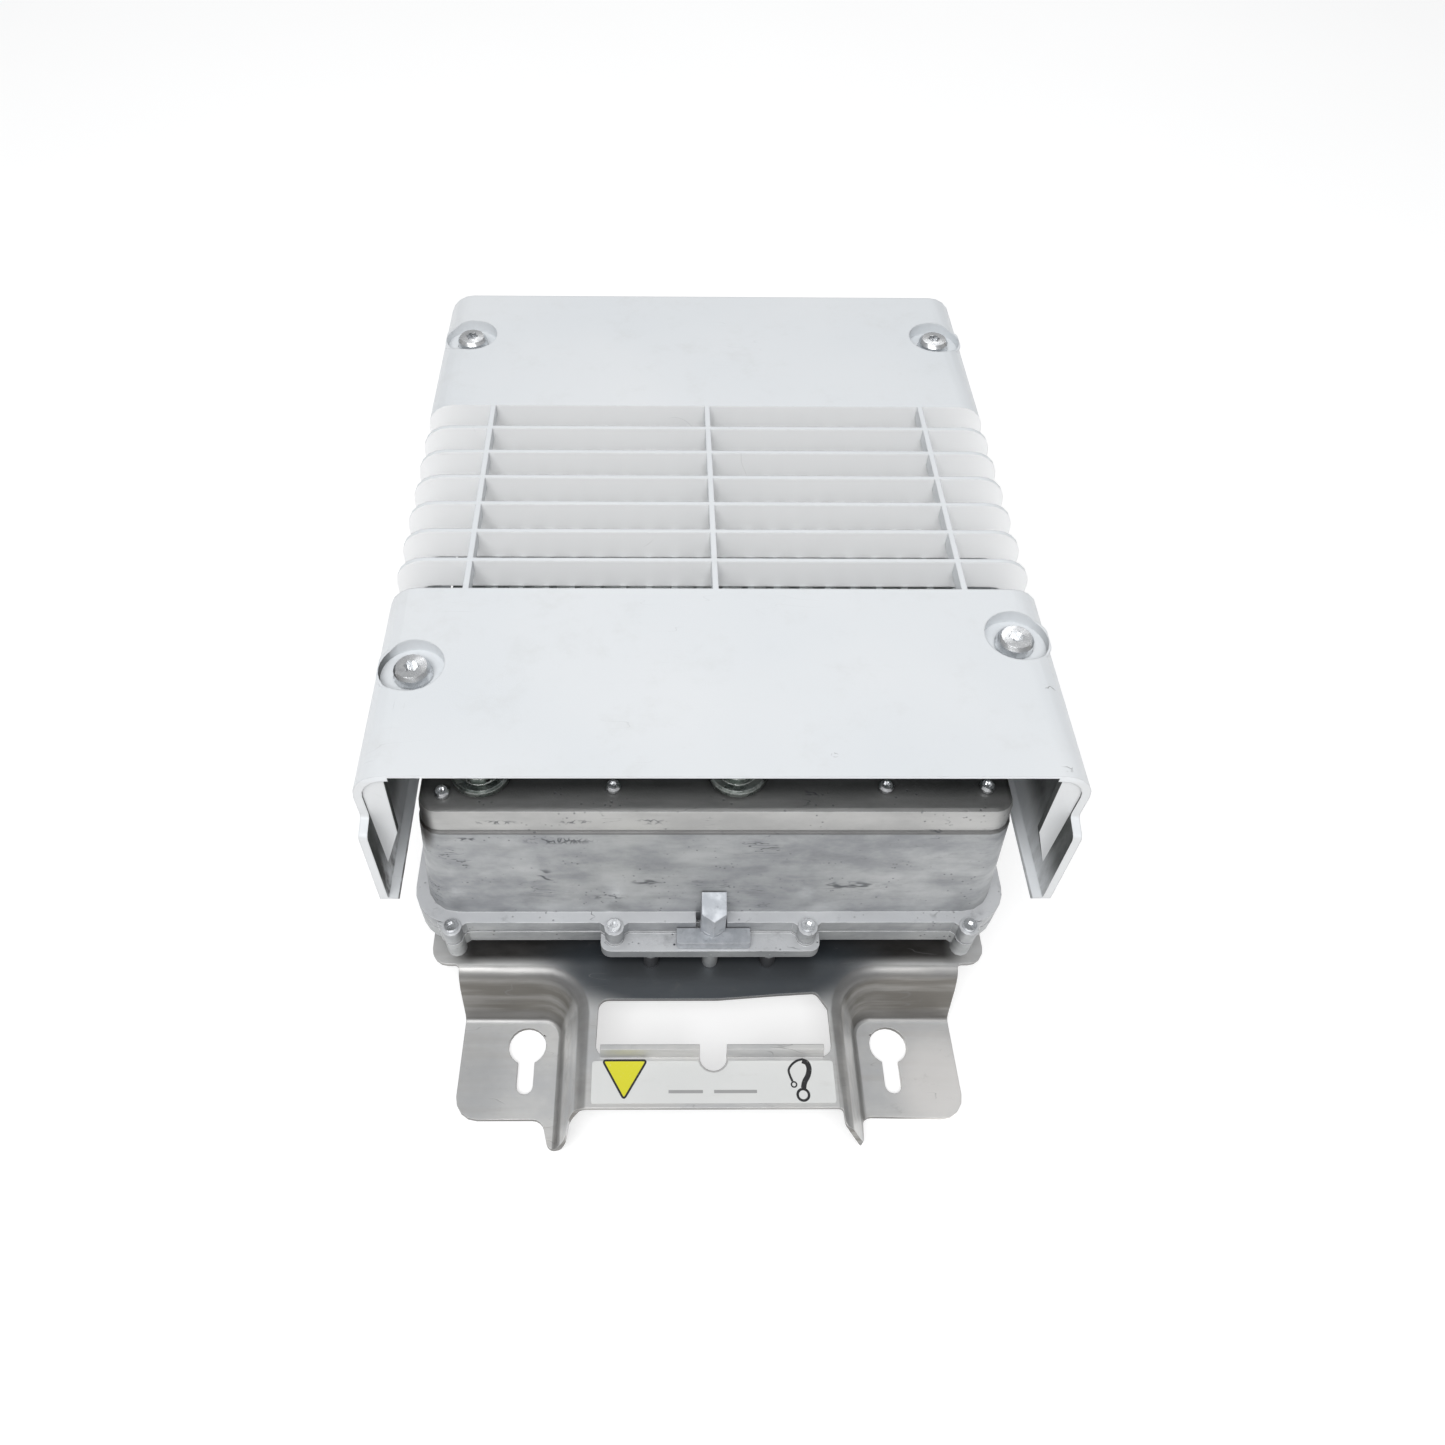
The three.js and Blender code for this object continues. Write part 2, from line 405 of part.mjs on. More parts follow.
// ---------- wall bracket ----------
{
  // section of the raised bend: distance from the ear centre, height
  const slope = Math.atan2(PLATEAU - SHEET, RISER_RUN);
  const line = [];
  const bend = (cx, cz, r, a0, a1, n) => {
    for (let k = 0; k <= n; k++) {
      const a = a0 + ((a1 - a0) * k) / n;
      line.push([cx + r * Math.cos(a), cz + r * Math.sin(a), a]);
    }
  };
  const [ra, rb] = [3, 4.5];
  const low = [EAR_R - ra * Math.tan(slope / 2), 1 + ra];
  const high = [EAR_R + RISER_RUN + rb * Math.tan(slope / 2), PLATEAU - 1 - rb];
  bend(...low, ra, -Math.PI / 2, -Math.PI / 2 + slope, 3);
  const turn = line.length;
  bend(...high, rb, Math.PI / 2 + slope, Math.PI / 2, 4);
  const side = (s) => [[1, 1 + s], ...line.map(([r, z, a], i) => {
    const k = i < turn ? -s : s;
    return [r + k * Math.cos(a), z + k * Math.sin(a)];
  }), [23.5, PLATEAU - 1 + s]];
  const section = [...side(-1), ...side(1).reverse()];
  const place = (x, y, dx, dy) => section.map(([r, z]) => [x + r * dx, y + r * dy, z]);
  const rings = [place(116, EAR_C[1], 0, 1)];
  for (let k = 0; k <= 6; k++) {
    const a = Math.PI / 2 + (k * Math.PI) / 12;
    rings.push(place(...EAR_C, Math.cos(a), Math.sin(a)));
  }
  rings.push(place(EAR_C[0], -76, -1, 0));
  const ear = skin(rings, section);
  const farEar = skin([-1, 1].map((s) => section.map(([r, z]) => [s > 0 ? 116 : 52, 299.5 - r, z])), section);
  const mirror = (m) => m.mirror([1, 0, 0]);

  const pads = [box(62, 104, -75, -25.5, 0, SHEET), box(EAR_C[0], 104, -26, -19.5, 0, SHEET),
    box(52, 104, 293.5, 322, 0, SHEET)];
  const hole = join(plan(polygon(rounded([[46, -80, 0], [125, -80, 0], [125, -3.5, 0], [46, -3.5, 22]], 6)), 20, 35),
    box(50, 125, 277.5, 330, 20, 35));
  let sheet = box(-120, 120, -80, 330, PLATEAU - SHEET, PLATEAU);
  sheet = cut(sheet, hole, mirror(hole));
  for (const p of [ear, farEar, ...pads]) sheet = join(sheet, p, mirror(p));

  const half = [
    [WING_X, -5, 7], [EAR_X, -5, 2], [EAR_X, -12, 0], [EAR_X - 0.8, -17, 0], [EAR_X, EAR_Y, 9],
    [66.5, EAR_Y, 5], [63.6, NOSE_Y, 3], [56, NOSE_Y, 2.5], [54.6, STRAP_Y[0], 2],
  ];
  const narrow = [[60.5, EAR_Y + 0.8, 4], [59, NOSE_Y + 0.4, 2.6], [49.2, NOSE_Y + 0.4, 2.5], [48.8, STRAP_Y[0], 1.5]];
  const rightHalf = [...half.slice(0, 5), ...narrow];
  const far = [[56, FAR_EDGE, 2], [56, FAR_EAR_Y, 6], [EAR_X, FAR_EAR_Y, 6], [EAR_X, FAR_EDGE, 3],
    [WING_X, FAR_EDGE, 7]];
  const flipX = (list) => list.map(([x, y, r]) => [-x, y, r]);
  const outline = rounded([...rightHalf, ...flipX(half).reverse(), ...flipX(far).reverse(), ...far], 4);
  sheet = sheet.intersect(plan(polygon(outline), -5, 40));

  // lifting strap: opening behind it, upturned lip along the opening
  const [openLow, openHigh] = [STRAP_Y[1] - 3.6, OPENING.y[1]];
  sheet = cut(sheet, plan(polygon(rounded([[-OPENING.x, openLow, OPENING.r], [OPENING.x + 1.6, openLow, OPENING.r],
    [OPENING.x + 1.6, openHigh - 4.5, 3], [OPENING.x - 2.5, openHigh + 2.2, 3], [26, openHigh + 1.2, 0],
    [3, openHigh - 0.6, 0], [-OPENING.x + 0.8, openHigh - 0.6, OPENING.r - 1]], 5)), 20, 40));
  const lip = across([[-45, 26], [-45, 28], [-43.8, 28], [-42.2, 32.2], [-40.2, 32.2], [-42.4, 26]], -43, 43);
  sheet = join(sheet, lip);
  sheet = cut(sheet, join(cyl(NOTCH.r, 0.5, NOTCH.y, 20, 40, 20),
    box(0.5 - NOTCH.r, 0.5 + NOTCH.r, NOTCH.y, -38, 20, 40)));

  for (const s of [-1, 1]) {
    const { x, y, r, slot, end } = KEYHOLE;
    sheet = cut(sheet, cyl(r, s * x, y, -1, 3, 22), cyl(slot, s * x, end, -1, 3, 14),
      box(s * x - slot, s * x + slot, end, y, -1, 3),
      cyl(slot, s * 79, 306, -1, 3, 14), box(s * 79 - slot, s * 79 + slot, 306, 330, -1, 3));
  }
  sheet = cut(sheet, FEET.map(([x, y]) => cyl(2.4, x, y, 20, 40, 12)));
  piece('wall_bracket', sheet, 'sheet');
}
piece('strap_label', cut(slab(-46, 46.4, -61.4, -45.2, 1, PLATEAU + 0.15, PLATEAU + 0.4, 2),
  cyl(NOTCH.r + 0.8, 0.5, NOTCH.y, 20, 40, 20)), 'label');
series('bracket_screw', FEET, (x, y) => cut(
  join(cyl(1.7, x, y, 24, 41.5, 8), cyl(4, x, y, 23, 25.7, 14)), hex(3, x, y, 21, 24.6)), 'steel');

// ---------- lower end: connectors ----------
{
  const port = (x) => latheY([[0, 250], [6, 250], [6, PORT_FACE + 0.3], [9, PORT_FACE + 0.3], [9, PORT_FACE + 5],
    [7.2, PORT_FACE + 6], [7.2, PORT_FACE + 26], [5.4, PORT_FACE + 28], [0, PORT_FACE + 28]], x, PORT_Z, 14);
  // socket body with its contact pin standing in the well
  series('dc_connector', DC_PORTS.map((x) => [x]), (x) => join(
    cut(port(x), cylY(3.8, x, PORT_Z, PORT_FACE + 12, PORT_FACE + 30, 12)),
    cylY(1.6, x, PORT_Z, PORT_FACE + 10, PORT_FACE + 25, 8)), 'black');
  const shell = latheY([[0, 246], [11, 246], [11, PORT_FACE + 0.3], [15, PORT_FACE + 0.3], [15, PORT_FACE + 5],
    [13, PORT_FACE + 5.8], [13, PORT_FACE + 22], [0, PORT_FACE + 22]], AC_PORT, PORT_Z, 22);
  const face = cylY(10, AC_PORT, PORT_Z, PORT_FACE + 8, PORT_FACE + 30, 20);
  const pins = [0, 1, 2, 3, 4].map((i) => {
    const a = (i * 2 * Math.PI) / 5;
    return cylY(1.4, AC_PORT + 5.6 * Math.cos(a), PORT_Z + 5.6 * Math.sin(a), PORT_FACE + 6, PORT_FACE + 18, 10);
  });
  piece('ac_connector', join(cut(shell, face), pins), 'black');
  const nut = solid(new THREE.CylinderGeometry(16, 16, 5, 6).translate(AC_PORT, 259, PORT_Z));
  piece('ac_nut', cut(nut, cylY(11.3, AC_PORT, PORT_Z, 250, 265, 20)), 'zinc');
  piece('status_lens', latheY([[0, 266], [2.5, 266], [2.5, PORT_FACE + 0.3], [4.5, PORT_FACE + 0.3],
    [4, PORT_FACE + 1.8], [0, PORT_FACE + 2.6]], LENS_X, PORT_Z, 14), 'lens');
  piece('ground_stud', join(cylY(2, ...STUD, 262.5, 280, 8), cylY(5, ...STUD, PORT_FACE + 0.3, PORT_FACE + 1.2, 14),
    cylY(4, ...STUD, PORT_FACE + 1.2, 276.4, 6)), 'brass');
}

// ---------- inside the case ----------
{
  const [b0, b1] = BOARD_Z;
  const under = b0 - GAP;
  piece('main_board', cut(slab(-101.5, 101.5, 16, 256.5, 3, b0, b1, 2),
    BOARD_SCREWS.map(([x, y]) => cyl(1.9, x, y, 80, 112, 8))), 'board');
  series('board_screw', BOARD_SCREWS, (x, y) => join(cyl(1.6, x, y, 92, 104, 8), cyl(3, x, y, 91.6, under, 12)),
    'steel');

  // power stage on the deck side of the board, pressed to the case through the spreader
  const plate = plan(polygon(rounded([[-101.5, 17, 3], [101.5, 17, 3], [101.5, 30, 3], [86, 34, 0], [86, 214, 3],
    [-86, 214, 3], [-86, 34, 0], [-101.5, 30, 3]], 2)), 105.9, 110.2);
  const clear = [...DECK_SCREWS.map(([x, y]) => cyl(1.9, x, y, 106.5, 112, 8)),
    ...SINK_SCREWS.map(([x, y]) => cyl(2.3, x, y, 103, 112, 8)), ...PLUGS.map(([x, y]) => cyl(8, x, y, 100, 112, 14))];
  piece('heat_spreader', cut(join(plate, box(-70, 70, 78, 196, 101.4, 108), box(-79, -68, 199, 211, 102.5, 107),
    box(68, 79, 199, 211, 102.5, 107)), clear), 'finned');
  piece('power_module', join(box(-66, 66, 84, 190, b1 + GAP, 98.4),
    [-62, -22, 22, 62].flatMap((x) => [96, 137, 178].map((y) => box(x - 8, x + 8, y - 7, y + 7, 98, 99.9)))), 'black');
  piece('thermal_pad', box(-68, 68, 82, 192, 100.2, 101.1), 'pad');

  // tall parts hang below the board
  const [cx, cy] = [-40, 70];
  piece('transformer_core', cut(box(cx - 32, cx + 32, cy - 20, cy + 20, 50, under),
    box(cx - 22, cx - 11, cy - 25, cy + 25, 59, under - 9), box(cx + 11, cx + 22, cy - 25, cy + 25, 59, under - 9)),
  'ferrite');
  piece('transformer_winding', cut(plan(polygon(rect(cx - 21.6, cx + 21.6, cy - 32, cy + 32, 11)), 59.4, under - 9.4),
    box(cx - 11.4, cx + 11.4, cy - 20.4, cy + 20.4, 50, 95)), 'tape');
  const coil = [...Array(48).keys()].map((i) => {
    const [r, a] = [i % 2 ? 20.6 : 22, (i * Math.PI) / 24];
    return [48 + r * Math.cos(a), 66 + r * Math.sin(a)];
  });
  piece('choke', join(cut(plan(polygon(coil), 70, 90), cyl(9, 48, 66, 60, 95, 18)),
    cut(slab(25, 71, 43, 89, 3, 89, under, 2), cyl(7, 48, 66, 60, 95, 18))), 'copper');
  const cans = [-84, -63, -42].flatMap((x) => [122, 144, 166].map((y) => cyl(9.2, x, y, 56, 92, 14)));
  piece('capacitor_bank', join(cans, slab(-94.5, -31.5, 111.5, 176.5, 4, 90.6, under, 2)), 'can');
  piece('film_capacitor', slab(8, 34, 118, 160, 2, 66, under, 2), 'film');
  piece('relay', slab(52, 84, 118, 150, 1.5, 72, under, 2), 'relay');
  piece('control_card', join(box(-60, 10, 196, 197.6, 58, 89), box(-34, -22, 197.5, 199.2, 66, 78),
    box(-58, 8, 194, 199, 88, under)), 'board');
  const mouths = [...DC_PORTS, AC_PORT - 8, AC_PORT, AC_PORT + 8];
  piece('terminal_block', cut(box(-92.5, 62, 224, 241, 69, under),
    mouths.map((x) => cylY(2.6, x, PORT_Z, 234, 250, 8))), 'plug');
  piece('insulating_sheet', cut(slab(-103, 103, 16, 261, 6, 40.6, 41.1, 3),
    FEET.slice(2).map(([x, y]) => cyl(7, x, y, 30, 50, 12))), 'black');
}

group.position.y = -(NOSE_Y + FAR_EAR_Y) / 2;

export default group;
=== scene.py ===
import json
import math

import bpy
from mathutils import Matrix, Vector


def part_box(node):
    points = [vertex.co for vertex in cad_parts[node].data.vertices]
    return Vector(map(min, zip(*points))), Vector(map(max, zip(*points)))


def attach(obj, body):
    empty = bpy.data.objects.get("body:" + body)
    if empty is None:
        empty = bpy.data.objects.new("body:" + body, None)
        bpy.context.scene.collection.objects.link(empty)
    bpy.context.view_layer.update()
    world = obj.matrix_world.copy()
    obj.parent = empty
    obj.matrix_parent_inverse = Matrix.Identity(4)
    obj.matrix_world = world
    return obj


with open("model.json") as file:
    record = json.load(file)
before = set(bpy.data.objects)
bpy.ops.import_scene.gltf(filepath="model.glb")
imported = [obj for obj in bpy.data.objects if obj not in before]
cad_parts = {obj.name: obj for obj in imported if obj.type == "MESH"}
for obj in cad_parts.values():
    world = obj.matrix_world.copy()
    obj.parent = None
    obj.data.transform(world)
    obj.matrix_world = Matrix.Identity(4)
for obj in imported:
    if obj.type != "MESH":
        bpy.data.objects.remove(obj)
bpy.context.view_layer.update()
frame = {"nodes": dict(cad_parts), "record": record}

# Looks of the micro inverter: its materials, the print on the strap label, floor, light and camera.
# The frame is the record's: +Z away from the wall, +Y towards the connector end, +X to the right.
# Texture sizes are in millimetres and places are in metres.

MM = 0.001
SCENE = bpy.context.scene

# ---------------------------------------------------------------- camera

IMAGE = 1445                                # pixels on each side
FOCAL = 1069.15                             # pixels
SENSOR = 36                                 # mm
CENTRE = (666.55, 719.23)                   # where the optical axis meets the image
CAMERA_AT = Vector((-0.02237, -0.31825, 0.43297))
LOOKS_ALONG = Vector((0.01153, 0.61265, -0.79027)).normalized()
UPWARD = Vector((-0.00130, 0.79033, 0.61268)).normalized()


def make_camera():
    data = bpy.data.cameras.new("camera")
    data.sensor_width = SENSOR
    data.lens = SENSOR * FOCAL / IMAGE
    data.shift_x = (IMAGE / 2 - CENTRE[0]) / IMAGE
    data.shift_y = (CENTRE[1] - IMAGE / 2) / IMAGE
    data.clip_start, data.clip_end = 0.01, 20
    camera = bpy.data.objects.new("camera", data)
    right = LOOKS_ALONG.cross(UPWARD)
    up = right.cross(LOOKS_ALONG)
    turn = Matrix((right, up, -LOOKS_ALONG)).transposed()
    camera.matrix_world = Matrix.Translation(CAMERA_AT) @ turn.to_4x4()
    SCENE.collection.objects.link(camera)
    SCENE.camera = camera


# ---------------------------------------------------------------- material building blocks


class Look:
    """A node material on the Principled shader, with patterns in the object's own space."""

    def __init__(self, name, metallic=0.0, **sockets):
        self.material = bpy.data.materials.new(name)
        self.material.use_nodes = True
        self.nodes = self.material.node_tree.nodes
        self.links = self.material.node_tree.links
        self.shader = self.nodes["Principled BSDF"]
        self.shader.inputs["Metallic"].default_value = metallic
        for socket, value in sockets.items():
            self.shader.inputs[socket.replace("_", " ")].default_value = value
        self.here = self.nodes.new("ShaderNodeTexCoord").outputs["Object"]
        self.geometry = self.nodes.new("ShaderNodeNewGeometry")

    def feed(self, socket, value):
        if isinstance(value, bpy.types.NodeSocket):
            self.links.new(value, socket)
        else:
            socket.default_value = (*value, 1) if isinstance(value, tuple) else value

    def math(self, operation, a, b=0.0):
        node = self.nodes.new("ShaderNodeMath")
        node.operation = operation
        self.feed(node.inputs[0], a)
        self.feed(node.inputs[1], b)
        return node.outputs[0]

    def times(self, *values):
        result = values[0]
        for value in values[1:]:
            result = self.math("MULTIPLY", result, value)
        return result

    def most(self, *values):
        result = values[0]
        for value in values[1:]:
            result = self.math("MAXIMUM", result, value)
        return result

    def part(self, vector, axis):
        node = self.nodes.new("ShaderNodeSeparateXYZ")
        self.links.new(vector, node.inputs[0])
        return node.outputs["XYZ".index(axis)]

    def at(self, axis):
        """The place along an axis, in metres."""
        return self.part(self.here, axis)

    def facing(self, axis):
        """How far the surface faces along an axis, from -1 to 1."""
        return self.part(self.geometry.outputs["Normal"], axis)

    def step(self, value, low, high):
        """0 at low, 1 at high, smooth between and flat beyond; low may be the greater."""
        node = self.nodes.new("ShaderNodeMapRange")
        node.interpolation_type = "SMOOTHSTEP"
        self.feed(node.inputs["Value"], value)
        node.inputs["From Min"].default_value = low
        node.inputs["From Max"].default_value = high
        return node.outputs[0]

    def place(self, size, shift, turn=0.0):
        """Coordinates in which one unit is size, one length in mm or three."""
        sizes = size if isinstance(size, tuple) else (size,) * 3
        node = self.nodes.new("ShaderNodeMapping")
        node.inputs["Scale"].default_value = [1 / (s * MM) for s in sizes]
        node.inputs["Location"].default_value = (shift, shift * 1.7, shift * 0.6)
        node.inputs["Rotation"].default_value[2] = math.radians(turn)
        self.links.new(self.here, node.inputs["Vector"])
        return node.outputs[0]

    def noise(self, size, detail=3.0, rough=0.5, shift=0.0, turn=0.0):
        node = self.nodes.new("ShaderNodeTexNoise")
        node.inputs["Scale"].default_value = 1
        node.inputs["Detail"].default_value = detail
        node.inputs["Roughness"].default_value = rough
        self.links.new(self.place(size, shift, turn), node.inputs["Vector"])
        return node.outputs["Fac"]

    def cells(self, size, shift=0.0, metric="EUCLIDEAN"):
        """Distance from the middle of the nearest of many scattered cells."""
        node = self.nodes.new("ShaderNodeTexVoronoi")
        node.distance = metric
        node.inputs["Scale"].default_value = 1
        self.links.new(self.place(size, shift), node.inputs["Vector"])
        return node.outputs["Distance"]

    def hair(self, size, width, shift=0.0, detail=1.0, turn=0.0):
        """Thin wandering lines, where a noise crosses its middle value."""
        wave = self.noise(size, detail, 0.5, shift, turn)
        off = self.math("ABSOLUTE", self.math("SUBTRACT", wave, 0.5))
        return self.math("SUBTRACT", 1.0, self.step(off, 0.0, width))

    def spot(self, centre, radii, hard=0.3):
        """1 near a place in metres, out to the share hard of radii in mm, and 0 outside them."""
        node = self.nodes.new("ShaderNodeVectorMath")
        node.operation = "SUBTRACT"
        self.links.new(self.here, node.inputs[0])
        node.inputs[1].default_value = centre
        scaled = self.nodes.new("ShaderNodeVectorMath")
        scaled.operation = "DIVIDE"
        self.links.new(node.outputs[0], scaled.inputs[0])
        scaled.inputs[1].default_value = [r * MM for r in radii]
        length = self.nodes.new("ShaderNodeVectorMath")
        length.operation = "LENGTH"
        self.links.new(scaled.outputs[0], length.inputs[0])
        return self.math("SUBTRACT", 1.0, self.step(length.outputs["Value"], hard, 1.0))

    def mix(self, amount, a, b):
        node = self.nodes.new("ShaderNodeMix")
        node.data_type = "RGBA"
        self.feed(node.inputs[0], amount)
        self.feed(node.inputs[6], a)
        self.feed(node.inputs[7], b)
        return node.outputs[2]

    def blend(self, amount, low, high):
        """A number from low to high."""
        return self.math("ADD", self.times(amount, high - low), low)

    def rounded(self, radius):
        """How near an edge is, and the normal of an edge rounded to radius in mm."""
        node = self.nodes.new("ShaderNodeBevel")
        node.samples = 4
        node.inputs["Radius"].default_value = radius * MM
        dot = self.nodes.new("ShaderNodeVectorMath")
        dot.operation = "DOT_PRODUCT"
        self.links.new(node.outputs[0], dot.inputs[0])
        self.links.new(self.geometry.outputs["Normal"], dot.inputs[1])
        near = self.math("SUBTRACT", 1.0, self.step(dot.outputs["Value"], 0.80, 0.99))
        return near, node.outputs[0]

    def bump(self, height, depth, normal=None):
        """Relief of depth in mm."""
        node = self.nodes.new("ShaderNodeBump")
        node.inputs["Distance"].default_value = depth * MM
        self.feed(node.inputs["Height"], height)
        if normal is not None:
            self.links.new(normal, node.inputs["Normal"])
        return node.outputs[0]

    def done(self, colour, roughness, normal=None):
        self.feed(self.shader.inputs["Base Color"], colour)
        self.feed(self.shader.inputs["Roughness"], roughness)
        if normal is not None:
            self.links.new(normal, self.shader.inputs["Normal"])
        return self.material


# ---------------------------------------------------------------- materials


# Scuffs on the sunshade: size of the lines, their width, shift and turn, middle in m, radii in mm
COVER_SCUFFS = (
    ((2, 30, 30), 0.03, 4.4, 8, (-0.1072, -0.0965, 0.1542), (2.2, 5, 4)),
    (3, 0.05, 1.4, 0, (0.008, -0.0942, 0.1545), (1.6, 1.2, 3)),
    (2, 0.08, 8.4, 0, (0.0358, -0.1168, 0.1545), (1.5, 1.2, 3)),
    (3, 0.07, 2.2, 0, (0.112, -0.0879, 0.153), (3, 2, 3)),
    (3, 0.07, 5.2, 0, (0.110, -0.1219, 0.153), (3, 2, 3)),
)


def sunshade_plastic():
    look = Look("sunshade_plastic", IOR=1.5, Specular_IOR_Level=0.4, Coat_Weight=0.05,
                Coat_Roughness=0.18)
    near, normal = look.rounded(0.7)
    along, height = look.at("Y"), look.at("Z")
    cloud = look.noise(75, 2)
    colour = look.mix(cloud, (0.70, 0.735, 0.765), (0.79, 0.805, 0.82))
    dust = look.times(look.step(look.noise(16, 6, 0.7, 3.1), 0.5, 0.8), 0.22)
    colour = look.mix(dust, colour, (0.58, 0.585, 0.57))
    # painted light: the faces of the blades are paler than the top, standing in for light scattered
    # between the blades
    painted_louvre_light = look.times(look.step(along, -0.043, -0.041), look.step(along, 0.070, 0.067),
                        look.step(look.math("ABSOLUTE", look.facing("Y")), 0.4, 0.7))
    colour = look.mix(painted_louvre_light, colour, (0.97, 0.975, 0.98))
    # painted shade and reflection: dark brown streaks on the inner faces of the skirts, near their
    # near ends, as in shadow with the dark case mirrored
    inward = look.step(look.times(look.facing("X"), look.math("SIGN", look.at("X"))), -0.5, -0.9)
    near_end = look.step(along, -0.085, -0.128)
    left = look.blend(look.step(look.at("X"), 0.01, -0.01), 0.45, 0.9)
    painted_skirt_shade = look.times(inward, near_end, left,
                       look.step(look.noise((5, 9, 26), 5, 0.62, 7.0), 0.30, 0.62))
    colour = look.mix(painted_skirt_shade, colour, (0.035, 0.027, 0.023))
    # painted shade, darker still, on the upper part of those faces
    painted_upper_shade = look.times(inward, look.step(along, -0.050, -0.085), look.step(height, 0.088, 0.116),
                      look.blend(look.noise((4, 8, 22), 5, 0.6, 3.0), 0.75, 1.05))
    painted_upper_shade = look.math("MINIMUM", painted_upper_shade, 0.97)
    colour = look.mix(painted_upper_shade, colour, (0.012, 0.015, 0.013))
    painted_skirt_shade = look.most(painted_skirt_shade, painted_upper_shade)
    # painted shade: the near end faces are greyer below their top edge, as they catch less light
    # than the top
    end = look.times(look.step(look.facing("Y"), -0.6, -0.9),
                     look.step(along, -0.1215, -0.1225), look.step(height, 0.1525, 0.1500),
                     look.blend(look.noise((12, 12, 18), 3, 0.5, 5.0), 0.25, 0.50))
    colour = look.mix(end, colour, (0.60, 0.595, 0.59))
    # a few scuffs in the places the photo has them, and faint ones all over
    scuffs = [look.times(look.hair(size, width, shift, turn=turn), look.spot(middle, radii))
              for size, width, shift, turn, middle, radii in COVER_SCUFFS]
    faint = look.times(look.hair((60, 9, 60), 0.004, 6.2, 2.0, 31),
                       look.step(look.noise(30, 2, 0.5, 9), 0.6, 0.7), 0.18)
    marks = look.most(*scuffs, faint)
    colour = look.mix(look.times(marks, 0.75), colour, (0.16, 0.16, 0.165))
    # lighter edges along the top
    rubbed = look.times(near, look.step(height, 0.149, 0.152), 0.25)
    colour = look.mix(rubbed, colour, (0.88, 0.89, 0.90))
    grain = look.noise(0.55, 2)
    rough = look.math("ADD", look.blend(look.noise(22, 4), 0.30, 0.42), look.times(dust, 0.5))
    rough = look.most(rough, look.times(painted_skirt_shade, 0.9))
    return look.done(colour, rough, look.bump(grain, 0.035, look.bump(marks, -0.1, normal)))


# Pen-like marks on the case's near wall: size of the lines, their width and shift,
# middle along X and Z in m, radii along X and Z in mm
WALL_MARKS = (
    ((3.4, 9, 2.6), 0.085, 3.3, (-0.079, 0.1085), (11, 1.7)),
    ((3.0, 9, 2.4), 0.090, 7.3, (-0.0505, 0.1088), (8, 1.6)),
    ((3.2, 9, 3.0), 0.090, 9.1, (-0.0235, 0.1090), (7, 2.4)),
    ((2.6, 9, 3.4), 0.095, 5.9, (-0.057, 0.0985), (17, 2.6)),
    ((5, 9, 2.2), 0.10, 1.9, (-0.0905, 0.0995), (6, 1.6)),
    ((8, 9, 2.5), 0.13, 2.9, (-0.0251, 0.0724), (8, 2.4)),
    ((5, 9, 3.0), 0.10, 3.9, (-0.0400, 0.0622), (10, 2.4)),
    ((7, 9, 5.0), 0.10, 6.9, (-0.0635, 0.0760), (4, 7.0)),
    ((9, 9, 2.6), 0.09, 8.1, (0.0530, 0.0700), (16, 4.0)),
)
WALL_Y = -0.116                 # the near wall, in metres
WALL_REACH = 9                  # how far the marks reach across it, in mm


